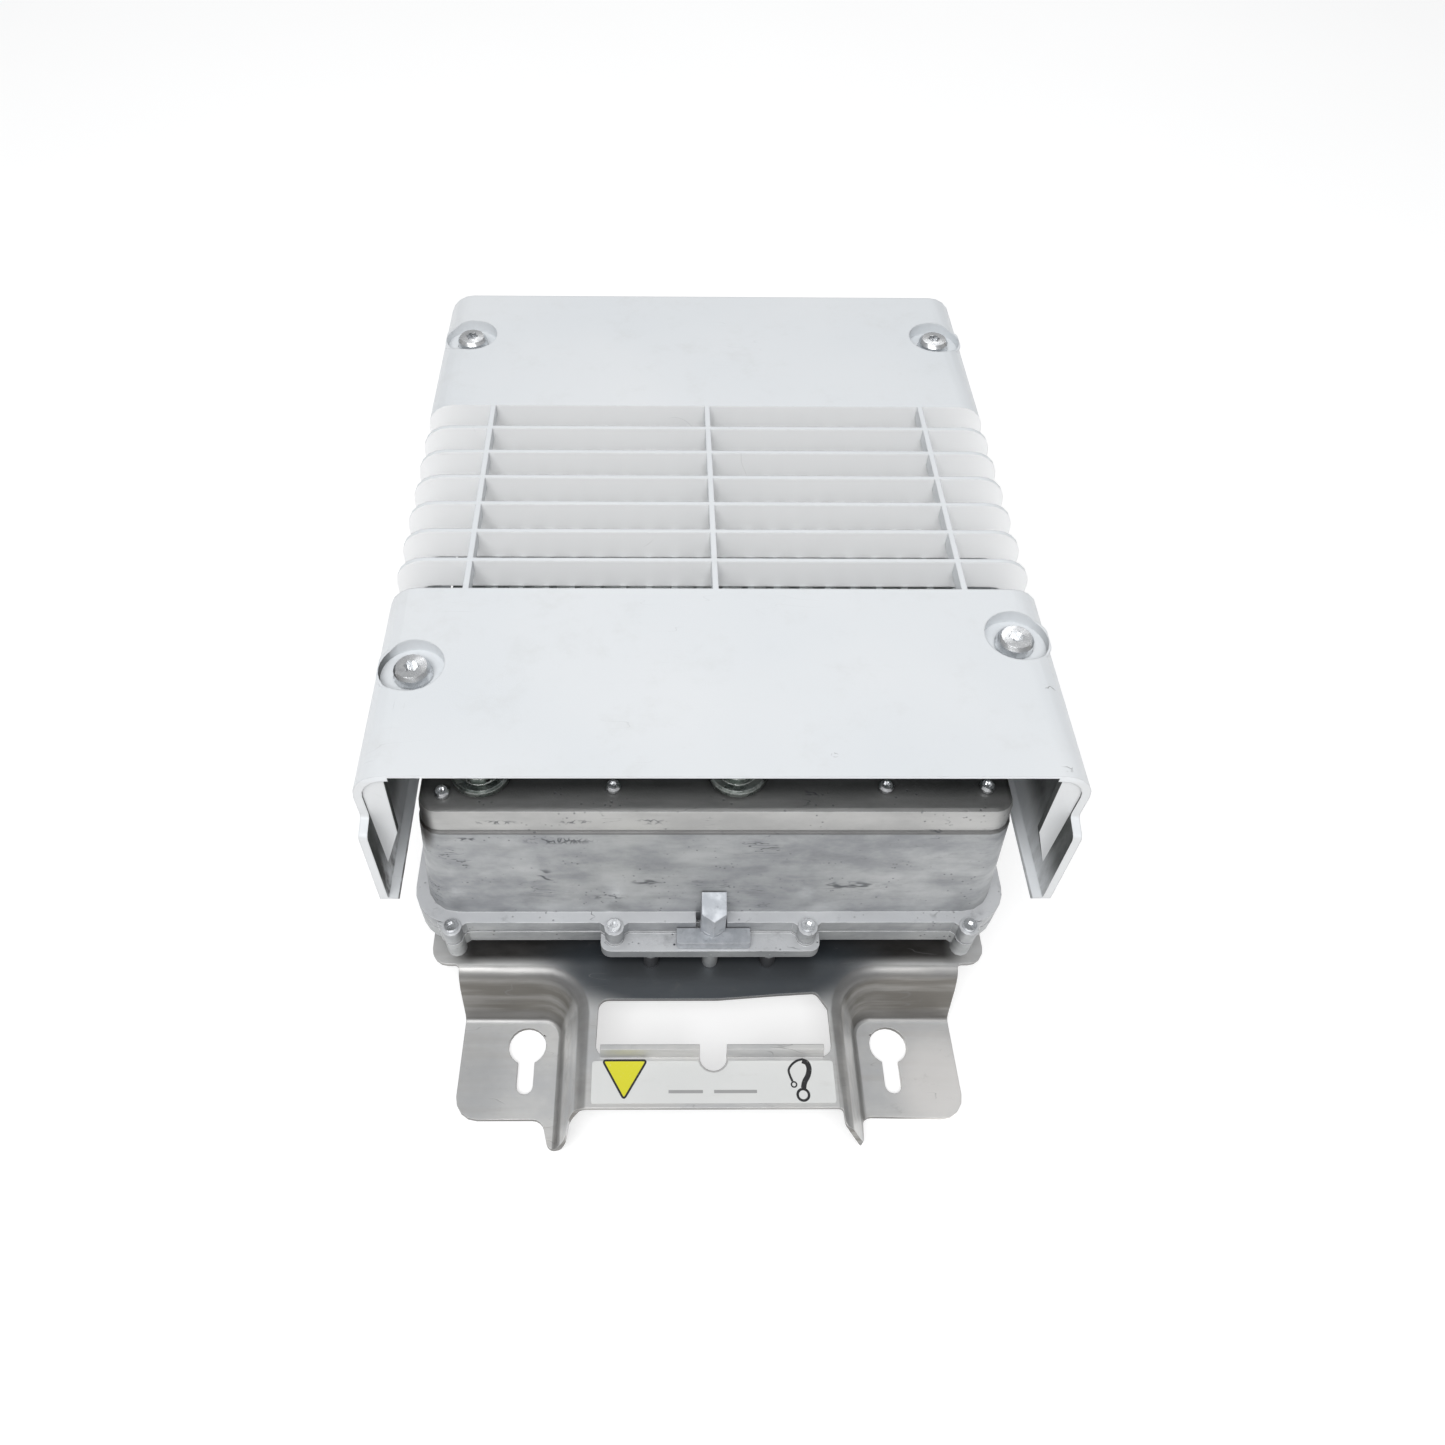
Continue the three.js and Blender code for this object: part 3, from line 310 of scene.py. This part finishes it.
def cast_metal(name, bright, dark, pits=1.0, case=False, lid=False):
    """Die-cast metal, with the stains and marks of the case or of the lid under it, and painted
    shade on each.
    """
    look = Look(name, metallic=0.60)
    near, normal = look.rounded(0.5)
    height = look.at("Z")
    blotch = look.step(look.noise((30, 24, 18), 5, 0.62, 2.0), 0.30, 0.70)
    drag = look.step(look.noise((26, 16, 5), 5, 0.6, 5.0), 0.45, 0.75)
    colour = look.mix(blotch, dark, bright)
    colour = look.mix(look.times(drag, 0.22), colour, tuple(c * 0.62 for c in dark))
    # painted light: faces that look up, low down, the flange and the shelf, are paler as if lit
    # more strongly
    painted_level_light = look.times(look.step(look.facing("Z"), 0.5, 0.9), look.step(height, 0.090, 0.080))
    colour = look.mix(look.times(painted_level_light, 0.74), colour, (0.76, 0.77, 0.79))
    stain = look.step(look.noise((11, 9, 5), 6, 0.68, 11.0), 0.56, 0.76)
    colour = look.mix(look.times(stain, 0.38), colour, (0.20, 0.205, 0.22))
    grit = look.times(
        look.math("SUBTRACT", 1.0, look.step(look.cells(2.6, shift=4.0), 0.10, 0.22)),
        look.step(look.noise(13, 3, 0.5, 6.0), 0.50, 0.60), pits)
    marks = look.times(look.hair((26, 10, 4), 0.012, 3.0, 3.0),
                       look.step(look.noise(19, 3, 0.5, 1.0), 0.58, 0.68))
    if lid:
        # painted shade: the two feet beside the guide lug are dark as in shadow
        low = look.most(*[look.spot((x, -0.129, 0.032), (6, 6, 7), 0.8) for x in (-0.0236, 0.0236)])
        colour = look.mix(look.times(low, 0.92), colour, (0.045, 0.045, 0.05))
    if case:
        # the band along the top of the walls
        band = look.step(height, 0.1022, 0.1030)
        colour = look.mix(look.times(band, 0.55), colour, (0.55, 0.54, 0.52))
        # painted shade: the deck under the sunshade is dark as in the sunshade's shadow, and its
        # near rim lighter, a painted pool of light
        deck = look.times(look.step(height, 0.1125, 0.1138), look.step(look.facing("Z"), 0.5, 0.8))
        painted_shade = look.times(deck, look.blend(look.noise((25, 6, 6), 4), 0.80, 1.0))
        colour = look.mix(painted_shade, colour, (0.030, 0.032, 0.032))
        rim = look.times(deck, look.step(look.at("Y"), -0.1010, -0.1085),
                         look.blend(look.noise((20, 4, 6), 4, 0.6, 2), 0.4, 1.0))
        colour = look.mix(rim, colour, (0.30, 0.30, 0.295))
        # the dark seam under the band, which has no bright edge
        seam = look.times(look.step(height, 0.1018, 0.1026), look.step(height, 0.1042, 0.1034))
        near = look.times(near, look.math("SUBTRACT", 1.0, seam))
        colour = look.mix(look.times(seam, 0.80), colour, (0.12, 0.12, 0.12))
        # painted shade: the near wall's upper corners are dark as in the shadow of the skirts
        corner = look.most(look.spot((-0.1085, -0.1145, 0.108), (8, 9, 22), 0.55),
                           look.spot((0.109, -0.1145, 0.110), (5, 9, 16), 0.55))
        colour = look.mix(look.times(corner, 0.93), colour, (0.040, 0.034, 0.030))
        ink = [look.times(look.hair(size, width, shift, 1.5),
                          look.spot((x, WALL_Y, z), (wide, WALL_REACH, high)))
               for size, width, shift, (x, z), (wide, high) in WALL_MARKS]
        marks = look.most(marks, *ink)
    colour = look.mix(look.times(marks, 0.80), colour, (0.045, 0.05, 0.06))
    colour = look.mix(grit, colour, (0.07, 0.075, 0.085))
    rubbed = look.times(near, look.step(look.noise(5, 3, 0.5, 8.0), 0.30, 0.55), 0.75)
    colour = look.mix(rubbed, colour, (0.86, 0.87, 0.89))
    rough = look.math("ADD", look.blend(blotch, 0.56, 0.44), look.times(drag, 0.08))
    skin = look.math("ADD", look.noise(0.9, 4, 0.6), look.times(look.noise(4.5, 3), 1.2))
    relief = look.math("SUBTRACT", skin, look.times(grit, 3.0))
    return look.done(colour, rough, look.bump(relief, 0.07, normal))


def fin_metal():
    look = Look("fin_metal", metallic=0.85)
    near, normal = look.rounded(0.3)
    bloom = look.step(look.noise((14, 30, 12), 5, 0.6), 0.32, 0.70)
    colour = look.mix(bloom, (0.50, 0.52, 0.52), (0.64, 0.66, 0.66))
    # painted shade: the fins' near ends are dark, as in the sunshade's shadow
    painted_shade = look.step(look.at("Y"), -0.060, -0.090)
    grime_and_shade = look.mix(look.step(look.noise(6, 5, 0.6, 3), 0.4, 0.7),
                     (0.035, 0.045, 0.045), (0.05, 0.085, 0.075))
    colour = look.mix(look.times(painted_shade, look.blend(bloom, 0.97, 0.88)), colour, grime_and_shade)
    colour = look.mix(look.times(near, 0.15), colour, (0.50, 0.52, 0.52))
    drawn = look.noise((0.5, 90, 0.5), 3)
    return look.done(colour, look.blend(bloom, 0.42, 0.60), look.bump(drawn, 0.03, normal))


def plug_metal():
    look = Look("plug_metal", metallic=0.9)
    near, normal = look.rounded(0.6)
    film = look.step(look.noise((6, 4, 4), 4, 0.6, 3.0), 0.35, 0.65)
    colour = look.mix(film, (0.10, 0.12, 0.11), (0.26, 0.28, 0.265))
    colour = look.mix(look.times(near, 0.9), colour, (0.80, 0.82, 0.80))
    return look.done(colour, look.blend(film, 0.20, 0.34),
                     look.bump(look.noise(0.8, 3), 0.02, normal))


def plated_steel():
    look = Look("plated_steel", metallic=1.0)
    near, normal = look.rounded(0.22)
    haze = look.step(look.noise(3.2, 4), 0.35, 0.65)
    colour = look.mix(haze, (0.62, 0.63, 0.645), (0.80, 0.81, 0.82))
    rubbed = look.times(look.hair(2.6, 0.02, 2.0), look.step(look.noise(3, 2), 0.5, 0.6))
    colour = look.mix(look.times(rubbed, 0.2), colour, (0.24, 0.235, 0.22))
    colour = look.mix(look.times(near, 0.5), colour, (0.92, 0.92, 0.93))
    return look.done(colour, look.blend(haze, 0.30, 0.20),
                     look.bump(look.noise(0.25, 2), 0.012, normal))


PLATEAU_TOP = (0.0281, 0.0284)  # metres, just below and just above the bracket's raised face


def bracket_steel():
    look = Look("bracket_steel", metallic=0.82)
    near, normal = look.rounded(0.5)
    along, height = look.at("Y"), look.at("Z")
    across = look.math("ABSOLUTE", look.at("X"))
    upward = look.facing("Z")
    brushed = look.noise((85, 0.35, 0.35), 4, 0.6)
    broad = look.noise((70, 5, 4), 4, 0.55, 6.0)
    cloud = look.step(look.noise((34, 26, 12), 4, 0.6, 1.0), 0.32, 0.68)
    colour = look.mix(cloud, (0.60, 0.605, 0.61), (0.76, 0.755, 0.74))
    colour = look.mix(look.times(look.step(broad, 0.45, 0.70), 0.28), colour, (0.50, 0.47, 0.44))
    # painted reflection: the risers towards the near end are a banded brown, as if mirroring a dark
    # room
    painted_riser_reflection = look.times(look.step(upward, 0.85, 0.35), look.step(height, 0.0272, 0.0262),
                       look.step(look.facing("Y"), -0.15, -0.55))
    bands = look.blend(look.step(look.noise((60, 14, 5), 4, 0.55, 3.0), 0.35, 0.65), 0.70, 0.96)
    colour = look.mix(look.times(painted_riser_reflection, bands), colour, (0.175, 0.165, 0.148))
    # painted shade: the strip of the raised face beside the case is dark as in the case's shadow,
    # and darkest in front of its middle
    under = look.times(look.step(along, -0.1318, -0.1262), look.step(along, -0.090, -0.100),
                       look.step(height, 0.024, 0.026), look.step(across, 0.106, 0.096))
    under = look.times(under, look.blend(look.noise((20, 8, 8), 4), 0.80, 1.05))
    colour = look.mix(look.math("MINIMUM", under, 0.97), colour, (0.030, 0.027, 0.025))
    shade = look.spot((0.0, -0.131, 0.028), (84, 26, 12), 0.6)
    colour = look.mix(look.times(shade, 0.92), colour, (0.052, 0.062, 0.073))
    # the left ear is darker
    left = look.spot((-0.098, -0.172, 0.001), (26, 40, 12), 0.2)
    colour = look.mix(look.times(left, 0.45), colour, (0.42, 0.425, 0.43))
    # painted shade: the bends are darkened so that they catch less light
    upper = look.times(look.step(upward, 0.998, 0.975), look.step(height, 0.0235, 0.0255),
                       look.step(height, 0.0283, PLATEAU_TOP[0]))
    lower = look.times(look.step(upward, 0.998, 0.96), look.step(height, 0.0090, 0.0060))
    bends = look.times(look.most(upper, lower),
                       look.blend(look.noise((30, 9, 9), 4, 0.6, 8.0), 0.35, 0.85))
    colour = look.mix(bends, colour, (0.20, 0.195, 0.19))
    # the right ear is paler
    pale = look.spot((0.092, -0.170, 0.001), (24, 30, 12), 0.3)
    colour = look.mix(look.times(pale, 0.75), colour, (0.93, 0.905, 0.88))
    grime_and_shade = look.step(look.noise((12, 9, 9), 6, 0.7, 4.0), 0.58, 0.80)
    colour = look.mix(look.times(grime_and_shade, 0.35), colour, (0.20, 0.19, 0.185))
    scuff = look.times(look.hair((40, 7, 30), 0.006, 2.0, 2.0, 24),
                       look.step(look.noise(18, 2, 0.5, 7), 0.55, 0.65))
    colour = look.mix(look.times(scuff, 0.5), colour, (0.25, 0.25, 0.25))
    colour = look.mix(look.times(near, 0.35), colour, (0.86, 0.855, 0.84))
    rough = look.math("ADD", look.blend(cloud, 0.46, 0.37), look.times(brushed, 0.10))
    rough = look.most(rough, look.times(bends, 0.75),
                      look.times(look.step(height, *PLATEAU_TOP), 0.70))
    return look.done(colour, rough, look.bump(brushed, 0.018, look.bump(scuff, -0.03, normal)))


def zinc_metal():
    look = Look("zinc_metal", metallic=0.65)
    near, normal = look.rounded(0.4)
    cloud = look.step(look.noise((7, 7, 12), 4, 0.6), 0.35, 0.65)
    colour = look.mix(cloud, (0.40, 0.42, 0.45), (0.52, 0.54, 0.57))
    stain = look.times(look.step(look.noise(3, 5, 0.7, 5), 0.56, 0.7), 0.5)
    colour = look.mix(stain, colour, (0.22, 0.23, 0.25))
    colour = look.mix(look.times(near, 0.6), colour, (0.80, 0.81, 0.83))
    return look.done(colour, look.blend(cloud, 0.60, 0.50),
                     look.bump(look.noise(0.8, 4), 0.05, normal))


def moulded(name, colour, size, depth, rough, **sockets):
    """Moulded or sleeved material with clouding, dust, and a grain of size and depth in mm."""
    look = Look(name, **sockets)
    near, normal = look.rounded(0.4)
    lighter = tuple(min(1.0, c * 1.35 + 0.012) for c in colour)
    tone = look.mix(look.step(look.noise(14, 4, 0.6), 0.3, 0.7), colour, lighter)
    dust = look.times(look.step(look.noise(5, 6, 0.7, 3), 0.55, 0.8), 0.25)
    tone = look.mix(dust, tone, (0.35, 0.34, 0.32))
    tone = look.mix(look.times(near, 0.3), tone, tuple(min(1.0, c * 1.6 + 0.05) for c in colour))
    gloss = look.blend(look.noise(9, 3), rough - 0.06, rough + 0.08)
    return look.done(tone, gloss, look.bump(look.noise(size, 3), depth, normal))


def label_film():
    look = Look("label_film", IOR=1.45, Coat_Weight=0.2, Coat_Roughness=0.25)
    normal = look.rounded(0.2)[1]
    colour = look.mix(look.noise(30, 2), (0.70, 0.71, 0.70), (0.78, 0.785, 0.775))
    grime_and_shade = look.step(look.noise((16, 5, 5), 6, 0.7, 2), 0.55, 0.85)
    colour = look.mix(look.times(grime_and_shade, 0.25), colour, (0.46, 0.44, 0.40))
    return look.done(colour, look.blend(grime_and_shade, 0.36, 0.55),
                     look.bump(look.noise(9, 2), 0.03, normal))


def printed(name, colour):
    look = Look(name)
    worn = look.step(look.noise(1.1, 4, 0.7), 0.60, 0.75)
    tone = look.mix(look.times(worn, 0.25), colour, (0.7, 0.7, 0.68))
    return look.done(tone, look.blend(look.noise(3, 2), 0.40, 0.52),
                     look.bump(look.noise(0.3, 2), 0.01))


def circuit_board():
    look = Look("circuit_board", Coat_Weight=0.5, Coat_Roughness=0.15)
    mask = look.mix(look.noise(20, 2), (0.015, 0.11, 0.045), (0.02, 0.14, 0.06))
    tracks = look.step(look.cells((3.1, 2.3, 3), 2.0, "CHEBYCHEV"), 0.44, 0.47)
    mask = look.mix(look.times(tracks, 0.7), mask, (0.035, 0.22, 0.09))
    pads = look.math("SUBTRACT", 1.0, look.step(look.cells(4.2, shift=5), 0.13, 0.16))
    return look.done(look.mix(pads, mask, (0.62, 0.60, 0.52)), look.blend(pads, 0.35, 0.25),
                     look.bump(look.most(tracks, pads), 0.04))


def wound(name, dark, light, pitch, metallic=0.0):
    """Turns of wire or tape; pitch sets the size of the grooves, in mm."""
    look = Look(name, metallic=metallic, Coat_Weight=0.3, Coat_Roughness=0.2)
    wave = look.nodes.new("ShaderNodeTexWave")
    wave.bands_direction = "Z"
    wave.inputs["Scale"].default_value = 0.3
    wave.inputs["Distortion"].default_value = 0.6
    look.links.new(look.place(pitch, 0.0), wave.inputs["Vector"])
    turns = wave.outputs["Fac"]
    colour = look.mix(turns, dark, light)
    colour = look.mix(look.times(look.noise(6, 3), 0.4), colour, dark)
    return look.done(colour, look.blend(turns, 0.45, 0.28), look.bump(turns, 0.15))


def clear_lens():
    look = Look("clear_lens", IOR=1.49, Transmission_Weight=0.35)
    near, normal = look.rounded(0.3)
    colour = look.mix(look.noise(3, 3), (0.42, 0.62, 0.44), (0.55, 0.76, 0.56))
    colour = look.mix(look.times(near, 0.4), colour, (0.75, 0.86, 0.76))
    return look.done(colour, look.blend(look.noise(2, 2), 0.12, 0.2),
                     look.bump(look.noise(0.7, 1), 0.03, normal))


def brass_metal():
    look = Look("brass_metal", metallic=1.0)
    near, normal = look.rounded(0.25)
    dull = look.step(look.noise(3, 5, 0.65), 0.35, 0.7)
    colour = look.mix(dull, (0.78, 0.58, 0.26), (0.42, 0.30, 0.14))
    colour = look.mix(look.times(near, 0.5), colour, (0.92, 0.76, 0.42))
    return look.done(colour, look.blend(dull, 0.22, 0.42),
                     look.bump(look.noise(0.3, 2), 0.02, normal))


# The material of each slot in the record, and of the few parts that differ from their slot
LOOKS = {
    "cover": sunshade_plastic(),
    "cast": cast_metal("cast_metal", (0.46, 0.47, 0.475), (0.29, 0.30, 0.315), pits=0.5, case=True),
    "finned": fin_metal(),
    "steel": plated_steel(),
    "sheet": bracket_steel(),
    "zinc": zinc_metal(),
    "rubber": moulded("rubber_black", (0.018, 0.018, 0.019), 0.8, 0.04, 0.62),
    "black": moulded("plastic_black", (0.022, 0.022, 0.024), 0.35, 0.03, 0.46),
    "label": label_film(),
    "board": circuit_board(),
    "ferrite": moulded("ferrite_grey", (0.045, 0.045, 0.048), 0.6, 0.05, 0.66),
    "copper": wound("copper_wire", (0.28, 0.10, 0.035), (0.72, 0.34, 0.16), 1.2, 0.8),
    "tape": wound("yellow_tape", (0.44, 0.28, 0.03), (0.72, 0.50, 0.08), 3.0),
    "film": moulded("film_blue", (0.03, 0.10, 0.38), 1.5, 0.02, 0.28, Coat_Weight=0.3),
    "can": moulded("can_sleeve", (0.03, 0.036, 0.045), 2.0, 0.02, 0.25, Coat_Weight=0.4),
    "pad": moulded("gap_pad", (0.20, 0.27, 0.33), 0.7, 0.06, 0.75),
    "relay": moulded("relay_case", (0.02, 0.021, 0.026), 0.4, 0.02, 0.4),
    "plug": moulded("terminal_green", (0.03, 0.19, 0.07), 0.4, 0.02, 0.38),
    "brass": brass_metal(),
    "lens": clear_lens(),
}
LID = cast_metal("lid_metal", (0.48, 0.49, 0.49), (0.31, 0.32, 0.33), lid=True)
PLUG = plug_metal()
OWN_LOOK = {"bottom_cover": LID, "vent_plug": PLUG, "blanking_plug": PLUG}


WELD = 2e-6                     # metres; joins only corners that coincide
SHARP = math.radians(31)        # edges at least this sharp stay sharp


def dress(name, node, slot):
    """Gives a CAD node its material, and smooth shading except at its edges."""
    for face in node.data.polygons:
        face.use_smooth = True
    custom = node.data.attributes.get("custom_normal")
    if custom:
        node.data.attributes.remove(custom)
    weld = node.modifiers.new("weld", "WELD")
    weld.merge_threshold = WELD
    split = node.modifiers.new("edges", "EDGE_SPLIT")
    split.split_angle = SHARP
    node.modifiers.new("normals", "WEIGHTED_NORMAL")
    node.data.materials.clear()
    node.data.materials.append(OWN_LOOK.get(name, LOOKS[slot]))


# ---------------------------------------------------------------- print on the strap label

PRINT = 0.03 * MM               # thickness of the ink
OVERPRINT = 0.035 * MM          # height of ink that crosses other ink
LABEL_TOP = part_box("strap_label")[1].z + 0.02 * MM      # the ink starts just clear of the label


def add_mesh(name, points, faces, material):
    mesh = bpy.data.meshes.new(name)
    mesh.from_pydata(points, [], faces)
    mesh.update()
    mesh.materials.append(material)
    piece = bpy.data.objects.new(name, mesh)
    SCENE.collection.objects.link(piece)
    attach(piece, "unit")
    return piece


def flat(name, outline, material):
    """A thin plate of ink over an outline that runs anticlockwise."""
    n = len(outline)
    low, high = LABEL_TOP, LABEL_TOP + PRINT
    points = [(x, y, low) for x, y in outline] + [(x, y, high) for x, y in outline]
    faces = [tuple(range(n))[::-1], tuple(range(n, 2 * n))]
    faces += [(i, (i + 1) % n, n + (i + 1) % n, n + i) for i in range(n)]
    return add_mesh(name, points, faces, material)


def ribbon(name, path, width, material, closed=False, height=0.0):
    """A stroke of ink along a path."""
    n = len(path)
    sides = []
    for i in range(n):
        before = path[(i - 1) % n] if closed or i else path[0]
        after = path[(i + 1) % n] if closed or i < n - 1 else path[-1]
        run = Vector((after[0] - before[0], after[1] - before[1])).normalized()
        out = Vector((run.y, -run.x)) * width / 2
        here = Vector(path[i])
        sides.append((here + out, here - out))
    points = []
    for z in (LABEL_TOP + height, LABEL_TOP + height + PRINT):
        for right, left in sides:
            points += [(right.x, right.y, z), (left.x, left.y, z)]
    faces = []
    for i in range(n if closed else n - 1):
        a, b = 2 * i, 2 * ((i + 1) % n)
        c, d = a + 2 * n, b + 2 * n
        faces += [(c, d, d + 1, c + 1), (a, a + 1, b + 1, b),
                  (a, b, d, c), (a + 1, c + 1, d + 1, b + 1)]
    if not closed:
        e = 2 * n - 2
        faces += [(0, 2 * n, 2 * n + 1, 1), (e, e + 1, e + 2 * n + 1, e + 2 * n)]
    return add_mesh(name, points, faces, material)


def round_corners(corners, radius, steps=5):
    """The outline of a polygon with its corners rounded by quadratic curves."""
    points = []
    for i, corner in enumerate(corners):
        here, before = Vector(corner), Vector(corners[i - 1])
        after = Vector(corners[(i + 1) % len(corners)])
        start = here + (before - here).normalized() * radius
        end = here + (after - here).normalized() * radius
        for k in range(steps + 1):
            t = k / steps
            p = start * (1 - t) ** 2 + here * 2 * t * (1 - t) + end * t * t
            points.append((p.x, p.y))
    return points


def arc(x, y, radius, start, end, steps):
    """Points of an arc, with its angles in degrees."""
    angles = [math.radians(start + (end - start) * k / steps) for k in range(steps + 1)]
    return [(x + radius * math.cos(a), y + radius * math.sin(a)) for a in angles]


def smooth(points, steps=6):
    """A smooth curve through points."""
    ends = [Vector(p) for p in (points[0], *points, points[-1])]
    out = []
    for a, b, c, d in zip(ends, ends[1:], ends[2:], ends[3:]):
        for k in range(steps):
            t = k / steps
            square, cube = 2 * a - 5 * b + 4 * c - d, 3 * b - a - 3 * c + d
            p = (2 * b + (c - a) * t + square * t ** 2 + cube * t ** 3) / 2
            out.append((p.x, p.y))
    return out + [points[-1]]


def print_label():
    black = printed("ink_black", (0.02, 0.02, 0.022))
    yellow = printed("ink_yellow", (0.74, 0.70, 0.03))
    grey = printed("ink_grey", (0.36, 0.36, 0.36))
    # a plain yellow triangle with a dark outline
    corners = [(-0.0250, -0.1703), (-0.0420, -0.1703), (-0.0336, -0.1852)]
    outline = round_corners(corners, 1.5 * MM)
    flat("label_triangle", outline, yellow)
    ribbon("label_triangle_rim", outline, 0.78 * MM, black, closed=True, height=OVERPRINT)
    # a lifting hook: shank ring, curved body and latch
    ring = arc(0.0340, -0.1836, 2.15 * MM, 0, 348, 29)
    ribbon("label_hook_ring", ring, 0.95 * MM, black, closed=True)
    body = [(0.0343, -0.1811), (0.0349, -0.1788), (0.0364, -0.1762),
            (0.0370, -0.1735), (0.0363, -0.1714), (0.0346, -0.1706)]
    ribbon("label_hook_body", smooth(body), 2.0 * MM, black)
    latch = [(0.0349, -0.1700), (0.0326, -0.1706), (0.0305, -0.1721),
             (0.0292, -0.1741), (0.0295, -0.1763), (0.0303, -0.1785)]
    ribbon("label_hook_latch", smooth(latch), 0.85 * MM, black, height=OVERPRINT)
    pin = arc(0.0308, -0.1797, 1.0 * MM, 0, 345, 19)
    ribbon("label_hook_pin", pin, 0.55 * MM, black, closed=True)
    # two plain bars where words would be
    low, high = -0.1829, -0.1817
    for name, left, right in (("label_bar_1", -0.0168, -0.0038), ("label_bar_2", 0.0004, 0.0166)):
        flat(name, [(left, low), (right, low), (right, high), (left, high)], grey)


# ---------------------------------------------------------------- floor and light


FLOOR_REACH = 9                 # metres from the middle to each side
FLOOR_Z = -0.2 * MM             # just below the part
FLOOR_GLOW = 0.50               # lifts the floor towards the photo's white background


def make_floor():
    mesh = bpy.data.meshes.new("floor")
    corners = [(x * FLOOR_REACH, y * FLOOR_REACH, FLOOR_Z)
               for x, y in ((-1, -1), (1, -1), (1, 1), (-1, 1))]
    mesh.from_pydata(corners, [], [(0, 1, 2, 3)])
    look = Look("floor_white")
    tone = look.mix(look.noise(300, 3), (0.61, 0.61, 0.61), (0.64, 0.64, 0.64))
    look.shader.inputs["Emission Color"].default_value = (1, 1, 1, 1)
    look.shader.inputs["Emission Strength"].default_value = FLOOR_GLOW
    mesh.materials.append(look.done(tone, look.blend(look.noise(80, 2), 0.75, 0.85)))
    floor = bpy.data.objects.new("floor", mesh)
    SCENE.collection.objects.link(floor)


def add_light(name, at, towards, size, power):
    """A white rectangular lamp, with its size in metres and its power in watts."""
    data = bpy.data.lights.new(name, "AREA")
    data.shape = "RECTANGLE"
    data.size, data.size_y = size
    data.energy = power
    light = bpy.data.objects.new(name, data)
    light.location = at
    light.rotation_euler = (Vector(towards) - Vector(at)).to_track_quat("-Z", "Y").to_euler()
    SCENE.collection.objects.link(light)


WORLD_STRENGTH = 0.50


def light_studio():
    """A world that is grey below the horizon and white overhead, and two lamps."""
    world = bpy.data.worlds.new("studio")
    SCENE.world = world
    world.use_nodes = True
    nodes, links = world.node_tree.nodes, world.node_tree.links
    background = nodes["Background"]
    ramp = nodes.new("ShaderNodeValToRGB")
    ramp.color_ramp.elements[0].position = 0.46
    ramp.color_ramp.elements[0].color = (0.53, 0.52, 0.51, 1)
    ramp.color_ramp.elements[1].position = 0.80
    ramp.color_ramp.elements[1].color = (0.98, 0.99, 1.0, 1)
    height = nodes.new("ShaderNodeSeparateXYZ")
    half = nodes.new("ShaderNodeMapRange")
    half.inputs["From Min"].default_value = -1
    links.new(nodes.new("ShaderNodeTexCoord").outputs["Generated"], height.inputs[0])
    links.new(height.outputs["Z"], half.inputs["Value"])
    links.new(half.outputs[0], ramp.inputs["Fac"])
    links.new(ramp.outputs["Color"], background.inputs["Color"])
    background.inputs["Strength"].default_value = WORLD_STRENGTH
    add_light("key", (-0.25, -0.95, 1.6), (0, 0, 0.1), (1.4, 1.0), 21)
    add_light("back", (0.2, 1.2, 1.3), (0, 0, 0.1), (1.2, 0.5), 2.5)
    SCENE.view_settings.view_transform = "Standard"


# ---------------------------------------------------------------- the scene

make_camera()
slots = {entry["node"]: entry["material_slot"] for entry in frame["record"]["subparts"]}
for name, node in frame["nodes"].items():
    dress(name, node, slots[name])
print_label()
make_floor()
light_studio()
